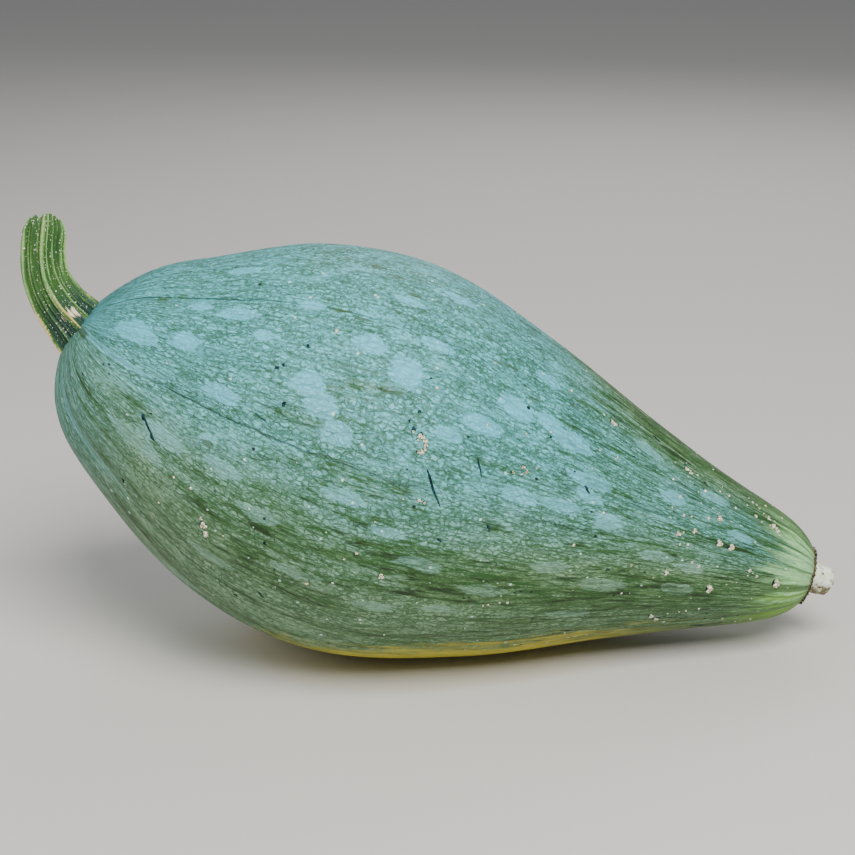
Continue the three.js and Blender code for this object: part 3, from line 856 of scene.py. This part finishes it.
# A straight rod is spun first, up its side and over its end, and then each corner is set in place.
stalk = bmesh.new()
profile = [stalk.verts.new((0, 0, 0))]
for row in range(STEM_ROWS + 1):
    profile.append(stalk.verts.new((1, 0, row / STEM_ROWS)))
for ring in range(1, CUT_RINGS + 1):
    profile.append(stalk.verts.new((1 - ring / CUT_RINGS, 0, 1.01)))
chain = [stalk.edges.new(pair) for pair in zip(profile, profile[1:])]
bmesh.ops.spin(stalk, geom=profile + chain, cent=(0, 0, 0), axis=(0, 0, 1), angle=math.tau,
               steps=STEM_COLUMNS, use_merge=True)
bmesh.ops.remove_doubles(stalk, verts=stalk.verts, dist=1e-5)
grain_layer = stalk.verts.layers.float_vector.new("stem_grain")
ridge_layer = stalk.verts.layers.float_vector.new("stem_parts")
for corner in stalk.verts:
    share = min(corner.co.z, 1)
    width = math.hypot(corner.co.x, corner.co.y)
    turn = math.atan2(-corner.co.y, corner.co.x)
    on_cut = 1 if corner.co.z > 1 else 0
    middle, ahead, outer = stalk_at(round(share, 5))
    wound = turn - math.radians(RIDGE_TURN + RIDGE_TWIST * share)
    wander = Vector((WANDER_ROUND * math.cos(turn), WANDER_ROUND * math.sin(turn), WANDER_ALONG * share))
    ridge = RIDGE_RISE * math.cos(STEM_RIDGES * wound)
    ridge += LESSER_RIDGE_RISE * math.cos(2 * STEM_RIDGES * wound)
    fine = math.cos(FINE_RIDGES * wound + RIDGE_WANDER * noise.noise(wander))
    fine *= RIDGE_MEAN + RIDGE_CHANGE * noise.noise(wander * 2.3)
    side_wander = SIDE_RIDGE_WANDER * noise.noise(wander * 1.3)
    fine += SIDE_RIDGE_SHARE * math.cos(SIDE_RIDGES * wound + side_wander)
    rounding = 1 - RIM_ROUNDING * (max(0, share - 1 + RIM_REACH) / RIM_REACH)**2
    uneven = SWELLING * noise.noise(wander * 1.7) + PITTING * noise.noise(wander * 9)
    swell = 1 + ridge + FINE_RIDGE_RISE * fine + uneven
    reach = width * rounding * through(STEM_HALF_WIDTH, share) * swell
    step = min(max((share - CUT_REACH) / (1 - CUT_REACH), 0), 1)
    near_cut = step * step * (3 - 2 * step)
    degrees_round = math.degrees(turn) % 360
    from_notch = abs((degrees_round - NOTCH_ANGLE + 180) % 360 - 180)
    tears = noise.noise(Vector((RIM_TEARS_ROUND * math.cos(turn), RIM_TEARS_ROUND * math.sin(turn), 0)))
    rim_rise = (-CUT_SLANT * math.sin(turn) - OUTER_SIDE_DROP * max(0, math.cos(turn))
                - CUT_NOTCH * math.exp(-(from_notch / NOTCH_HALF_WIDTH)**2)
                + (RIM_TEAR * tears + RIM_RIDGE_TEAR * fine))
    pits = noise.noise(Vector((9 * corner.co.x, 9 * corner.co.y, 3)))
    hollow = on_cut * (CUT_DISH * (1 - width)**0.6 + CUT_PITS * pits)
    corner.co = (middle + reach * (math.cos(turn) * outer + math.sin(turn) * Vector((0, 1, 0)))
                 + (near_cut * width * rim_rise - hollow) * ahead)
    corner[grain_layer] = (GRAIN_RADIUS * math.cos(turn), GRAIN_RADIUS * math.sin(turn),
                           share * STALK[-1][0])
    corner[ridge_layer] = ((ridge - RIDGE_LOWEST) / RIDGE_SPAN, 0.5 + 0.5 * fine, on_cut)
bmesh.ops.recalc_face_normals(stalk, faces=stalk.faces)
stalk_piece = finished("stalk", stalk)

STALK_GREEN = (0.045, 0.14, 0.01, 1)
STALK_PALE = (0.25, 0.47, 0.16, 1)
STALK_FURROW = (0.005, 0.045, 0.03, 1)
THREAD_TAN = (0.75, 0.5, 0.16, 1)
PATCH_CREAM = (0.9, 0.76, 0.52, 1)
CUT_GREEN = (0.25, 0.3, 0.08, 1)
PATCH_TURN = math.radians(243)
PATCH_ALONG = 0.0165

tree, woody = finish_of(stalk_piece, "ridged_stalk")
place = attribute(tree, "stem_grain")
parts = node(tree, "SeparateXYZ", {0: attribute(tree, "stem_parts")})
along = node(tree, "SeparateXYZ", {0: place}).outputs["Z"]
fibre = cloud(tree, stretched(tree, place, (1, 1, 0.08)), 800, 4, 0.65)
broad = cloud(tree, stretched(tree, place, (1, 1, 0.3)), 200, 3)
near_foot = between(tree, along, 0.01, 0.04, 1.0, 0.0)
high = plus(tree, times(tree, parts.outputs["X"], 0.3), times(tree, parts.outputs["Y"], 0.6))
high = plus(tree, high, swing(tree, fibre, 0.9))
high = plus(tree, high, swing(tree, broad, 0.8))
rough = cloud(tree, place, 1300, 3, 0.7)
high = plus(tree, high, swing(tree, rough, 0.7))
crest = between(tree, high, 0.78, 0.9)
high = minus(tree, high, times(tree, near_foot, 0.26))
colour = tint(tree, between(tree, high, 0.4, 0.8), STALK_GREEN, STALK_PALE)
furrow = times(tree, between(tree, high, 0.15, 0.5, 1.0, 0.0), between(tree, near_foot, 0.0, 1.0, 0.4, 1.0))
colour = tint(tree, furrow, colour, STALK_FURROW)
crest = times(tree, crest, between(tree, parts.outputs["X"], 0.4, 0.8))
crest = times(tree, crest, between(tree, near_foot, 0.0, 1.0, 0.35, 1.0))
colour = tint(tree, crest, colour, THREAD_TAN)
patch_middle = (GRAIN_RADIUS * math.cos(PATCH_TURN), GRAIN_RADIUS * math.sin(PATCH_TURN), PATCH_ALONG)
from_patch = node(tree, "VectorMath", {0: place, 1: patch_middle}, operation="DISTANCE").outputs["Value"]
from_patch = plus(tree, from_patch, swing(tree, fibre, 0.022))
colour = tint(tree, between(tree, from_patch, 0.0012, 0.0026, 0.95, 0.0), colour, PATCH_CREAM)
white = maths(tree, "MAXIMUM", flecks(tree, place, 700, 0.28, 0.25), flecks(tree, place, 1400, 0.33, 0.28))
colour = tint(tree, times(tree, white, 0.9), colour, CORK_WHITE)
colour = tint(tree, parts.outputs["Z"], colour, CUT_GREEN)
tree.links.new(colour, woody.inputs["Base Color"])
woody.inputs["Roughness"].default_value = 0.55
relief = plus(tree, times(tree, fibre, 0.8), times(tree, rough, 0.5))
relief = plus(tree, relief, times(tree, white, 0.6))
bump = node(tree, "Bump", {"Height": relief, "Distance": 0.0007, "Strength": 0.8})
tree.links.new(bump.outputs[0], woody.inputs["Normal"])
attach(stalk_piece, "root")
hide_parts("stem")

# The flower button
# The corky nub that the flower's style left at the tip of the tail: cream-white, a little lobed and
# narrower at its end, with brown specks, and brown low on its underside: partly a stain and partly
# painted shade.
BUTTON_SLOPE = math.radians(19)
# Radius and height, from the root inside the fruit to the end.
BUTTON_OUTLINE = ((0, -0.005), (0.0069, -0.005), (0.0073, 0), (0.0072, 0.0038), (0.0067, 0.0072),
                  (0.0055, 0.0094), (0.0033, 0.0103), (0, 0.01))
BUTTON_COLUMNS = 72
BUTTON_STEPS = 6
BUTTON_SMOOTHINGS = 3
BUTTON_LOBES = 5
BUTTON_LOBE_RISE = 0.045
LOBE_FULL_RADIUS = 0.004
BUTTON_LUMPS = 0.0006
BUTTON_GRAIN = 0.0003
BUTTON_RADIUS = 0.007

button_shape = bmesh.new()
outline = []
for low, high in zip(BUTTON_OUTLINE, BUTTON_OUTLINE[1:]):
    for step in range(BUTTON_STEPS):
        part = step / BUTTON_STEPS
        across = low[0] + (high[0] - low[0]) * part
        upward = low[1] + (high[1] - low[1]) * part
        outline.append(button_shape.verts.new((across, 0, upward)))
outline.append(button_shape.verts.new((BUTTON_OUTLINE[-1][0], 0, BUTTON_OUTLINE[-1][1])))
chain = [button_shape.edges.new(pair) for pair in zip(outline, outline[1:])]
bmesh.ops.spin(button_shape, geom=outline + chain, cent=(0, 0, 0), axis=(0, 0, 1), angle=math.tau,
               steps=BUTTON_COLUMNS, use_merge=True)
bmesh.ops.remove_doubles(button_shape, verts=button_shape.verts, dist=1e-6)
for smoothing in range(BUTTON_SMOOTHINGS):
    bmesh.ops.smooth_vert(button_shape, verts=button_shape.verts, factor=0.5, use_axis_x=True,
                          use_axis_y=True, use_axis_z=True)
pole = Vector((FLOWER_POLE[0], 0, FLOWER_POLE[1]))
outwards = slope_direction(BUTTON_SLOPE)
upwards = Vector((math.sin(BUTTON_SLOPE), 0, math.cos(BUTTON_SLOPE)))
for corner in button_shape.verts:
    turn = math.atan2(-corner.co.y, corner.co.x)
    lobed = min(1, math.hypot(corner.co.x, corner.co.y) / LOBE_FULL_RADIUS)
    swell = 1 + BUTTON_LOBE_RISE * math.cos(BUTTON_LOBES * turn) * lobed
    lumps = BUTTON_LUMPS * noise.noise(corner.co * 380) + BUTTON_GRAIN * noise.noise(corner.co * 1100)
    swell += lumps / BUTTON_RADIUS
    corner.co = (pole + corner.co.x * swell * upwards - corner.co.y * swell * Vector((0, 1, 0))
                 + (corner.co.z + lumps) * outwards)
bmesh.ops.recalc_face_normals(button_shape, faces=button_shape.faces)
flower_button = finished("flower_button", button_shape)

BUTTON_CREAM = (0.66, 0.72, 0.48, 1)
BUTTON_WHITE = (0.95, 0.98, 0.86, 1)
BUTTON_BROWN = (0.13, 0.09, 0.018, 1)

tree, corky = finish_of(flower_button, "button_cork")
place = node(tree, "TexCoord").outputs["Object"]
low_side = node(tree, "SeparateXYZ", {0: place}).outputs["Z"]
mottle = cloud(tree, place, 420, 4, 0.65)
colour = tint(tree, between(tree, mottle, 0.38, 0.6), BUTTON_CREAM, BUTTON_WHITE)
# Brown below a height on the button: partly a stain, partly painted shade under it.
under = plus(tree, low_side, times(tree, mottle, 0.022))
colour = tint(tree, between(tree, under, 0.037, 0.044, 0.9, 0.0), colour, BUTTON_BROWN)
colour = tint(tree, flecks(tree, place, 640, 0.42, 0.45), colour, BUTTON_BROWN)
tree.links.new(colour, corky.inputs["Base Color"])
corky.inputs["Roughness"].default_value = 0.8
bump = node(tree, "Bump", {"Height": mottle, "Distance": 0.001, "Strength": 0.9})
tree.links.new(bump.outputs[0], corky.inputs["Normal"])
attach(flower_button, "root")
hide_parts("blossom_button")

# The corolla scar
# The dry ring left on the skin where the petals fell: a thin, torn, dark brown edge about 27 mm across
# that stands a little proud of the rind round the button.
RING_RADIUS = 0.0133
RING_HALF_WIDTH = 0.00075
RING_HEIGHT = 0.0009
RING_STEPS = 220
# How much its rim's height, its place and its width change with slow tears and quick frays.
TEARS_ROUND = 9
FRAYS_ROUND = 40
TEAR_RISE = 0.6
FRAY_RISE = 0.9
RING_WAVER = 0.5
FRAY_WIDTH = 0.4
# Its section, in half-widths across and heights up.
RING_SECTION = ((-1, -0.4), (1, -0.4), (1.05, 0.3), (0.6, 1), (0, 0.8), (-0.6, 1), (-1.05, 0.3))
RING_DARK = (0.022, 0.014, 0.01, 1)
RING_TAN = (0.4, 0.26, 0.14, 1)


def ring_phi(angle):
    """The turn phi near the flower pole at which the skin lies at the ring's distance from the axis."""
    low, high = math.pi * 0.9, math.pi
    for step in range(30):
        middle = (low + high) / 2
        if (rind_point(middle, angle) - station(round(middle, 6))[0]).length > RING_RADIUS:
            low = middle
        else:
            high = middle
    return (low + high) / 2


# The section is spun at a tenth of its size about the axis, and then each corner is set on the skin.
ring_shape = bmesh.new()
section = [ring_shape.verts.new((1 + x * 0.1, 0, z * 0.1)) for x, z in RING_SECTION]
chain = [ring_shape.edges.new(pair) for pair in zip(section, section[1:] + section[:1])]
bmesh.ops.spin(ring_shape, geom=section + chain, cent=(0, 0, 0), axis=(0, 0, 1), angle=math.tau,
               steps=RING_STEPS, use_merge=True)
for corner in ring_shape.verts:
    across = (math.hypot(corner.co.x, corner.co.y) - 1) * 10
    rise = corner.co.z * 10
    turn = math.atan2(-corner.co.y, corner.co.x)
    angle = math.degrees(turn) % 360
    phi = ring_phi(angle)
    foot = rind_point(phi, angle)
    ahead = (foot - rind_point(phi - 0.01, angle)).normalized()
    out = ahead.cross((rind_point(phi, angle + 1) - foot)).normalized()
    torn = noise.noise(Vector((TEARS_ROUND * math.cos(turn), TEARS_ROUND * math.sin(turn), 0.5 * across)))
    fray = noise.noise(Vector((FRAYS_ROUND * math.cos(turn), FRAYS_ROUND * math.sin(turn), across)))
    tall = RING_HEIGHT * (1 + TEAR_RISE * torn + FRAY_RISE * fray) if rise > 0 else RING_HEIGHT
    shift = RING_HALF_WIDTH * (RING_WAVER * torn + RING_WAVER * fray)
    back = across * RING_HALF_WIDTH * (1 + FRAY_WIDTH * fray) + shift
    corner.co = foot - back * ahead + rise * tall * out
bmesh.ops.recalc_face_normals(ring_shape, faces=ring_shape.faces)
petal_ring = finished("petal_ring", ring_shape)

tree, brittle = finish_of(petal_ring, "dry_petal_ring")
place = node(tree, "TexCoord").outputs["Object"]
colour = tint(tree, between(tree, cloud(tree, place, 900, 4, 0.7), 0.5, 0.62), RING_DARK, RING_TAN)
tree.links.new(colour, brittle.inputs["Base Color"])
brittle.inputs["Roughness"].default_value = 0.9
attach(petal_ring, "root")
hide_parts("corolla_scar")
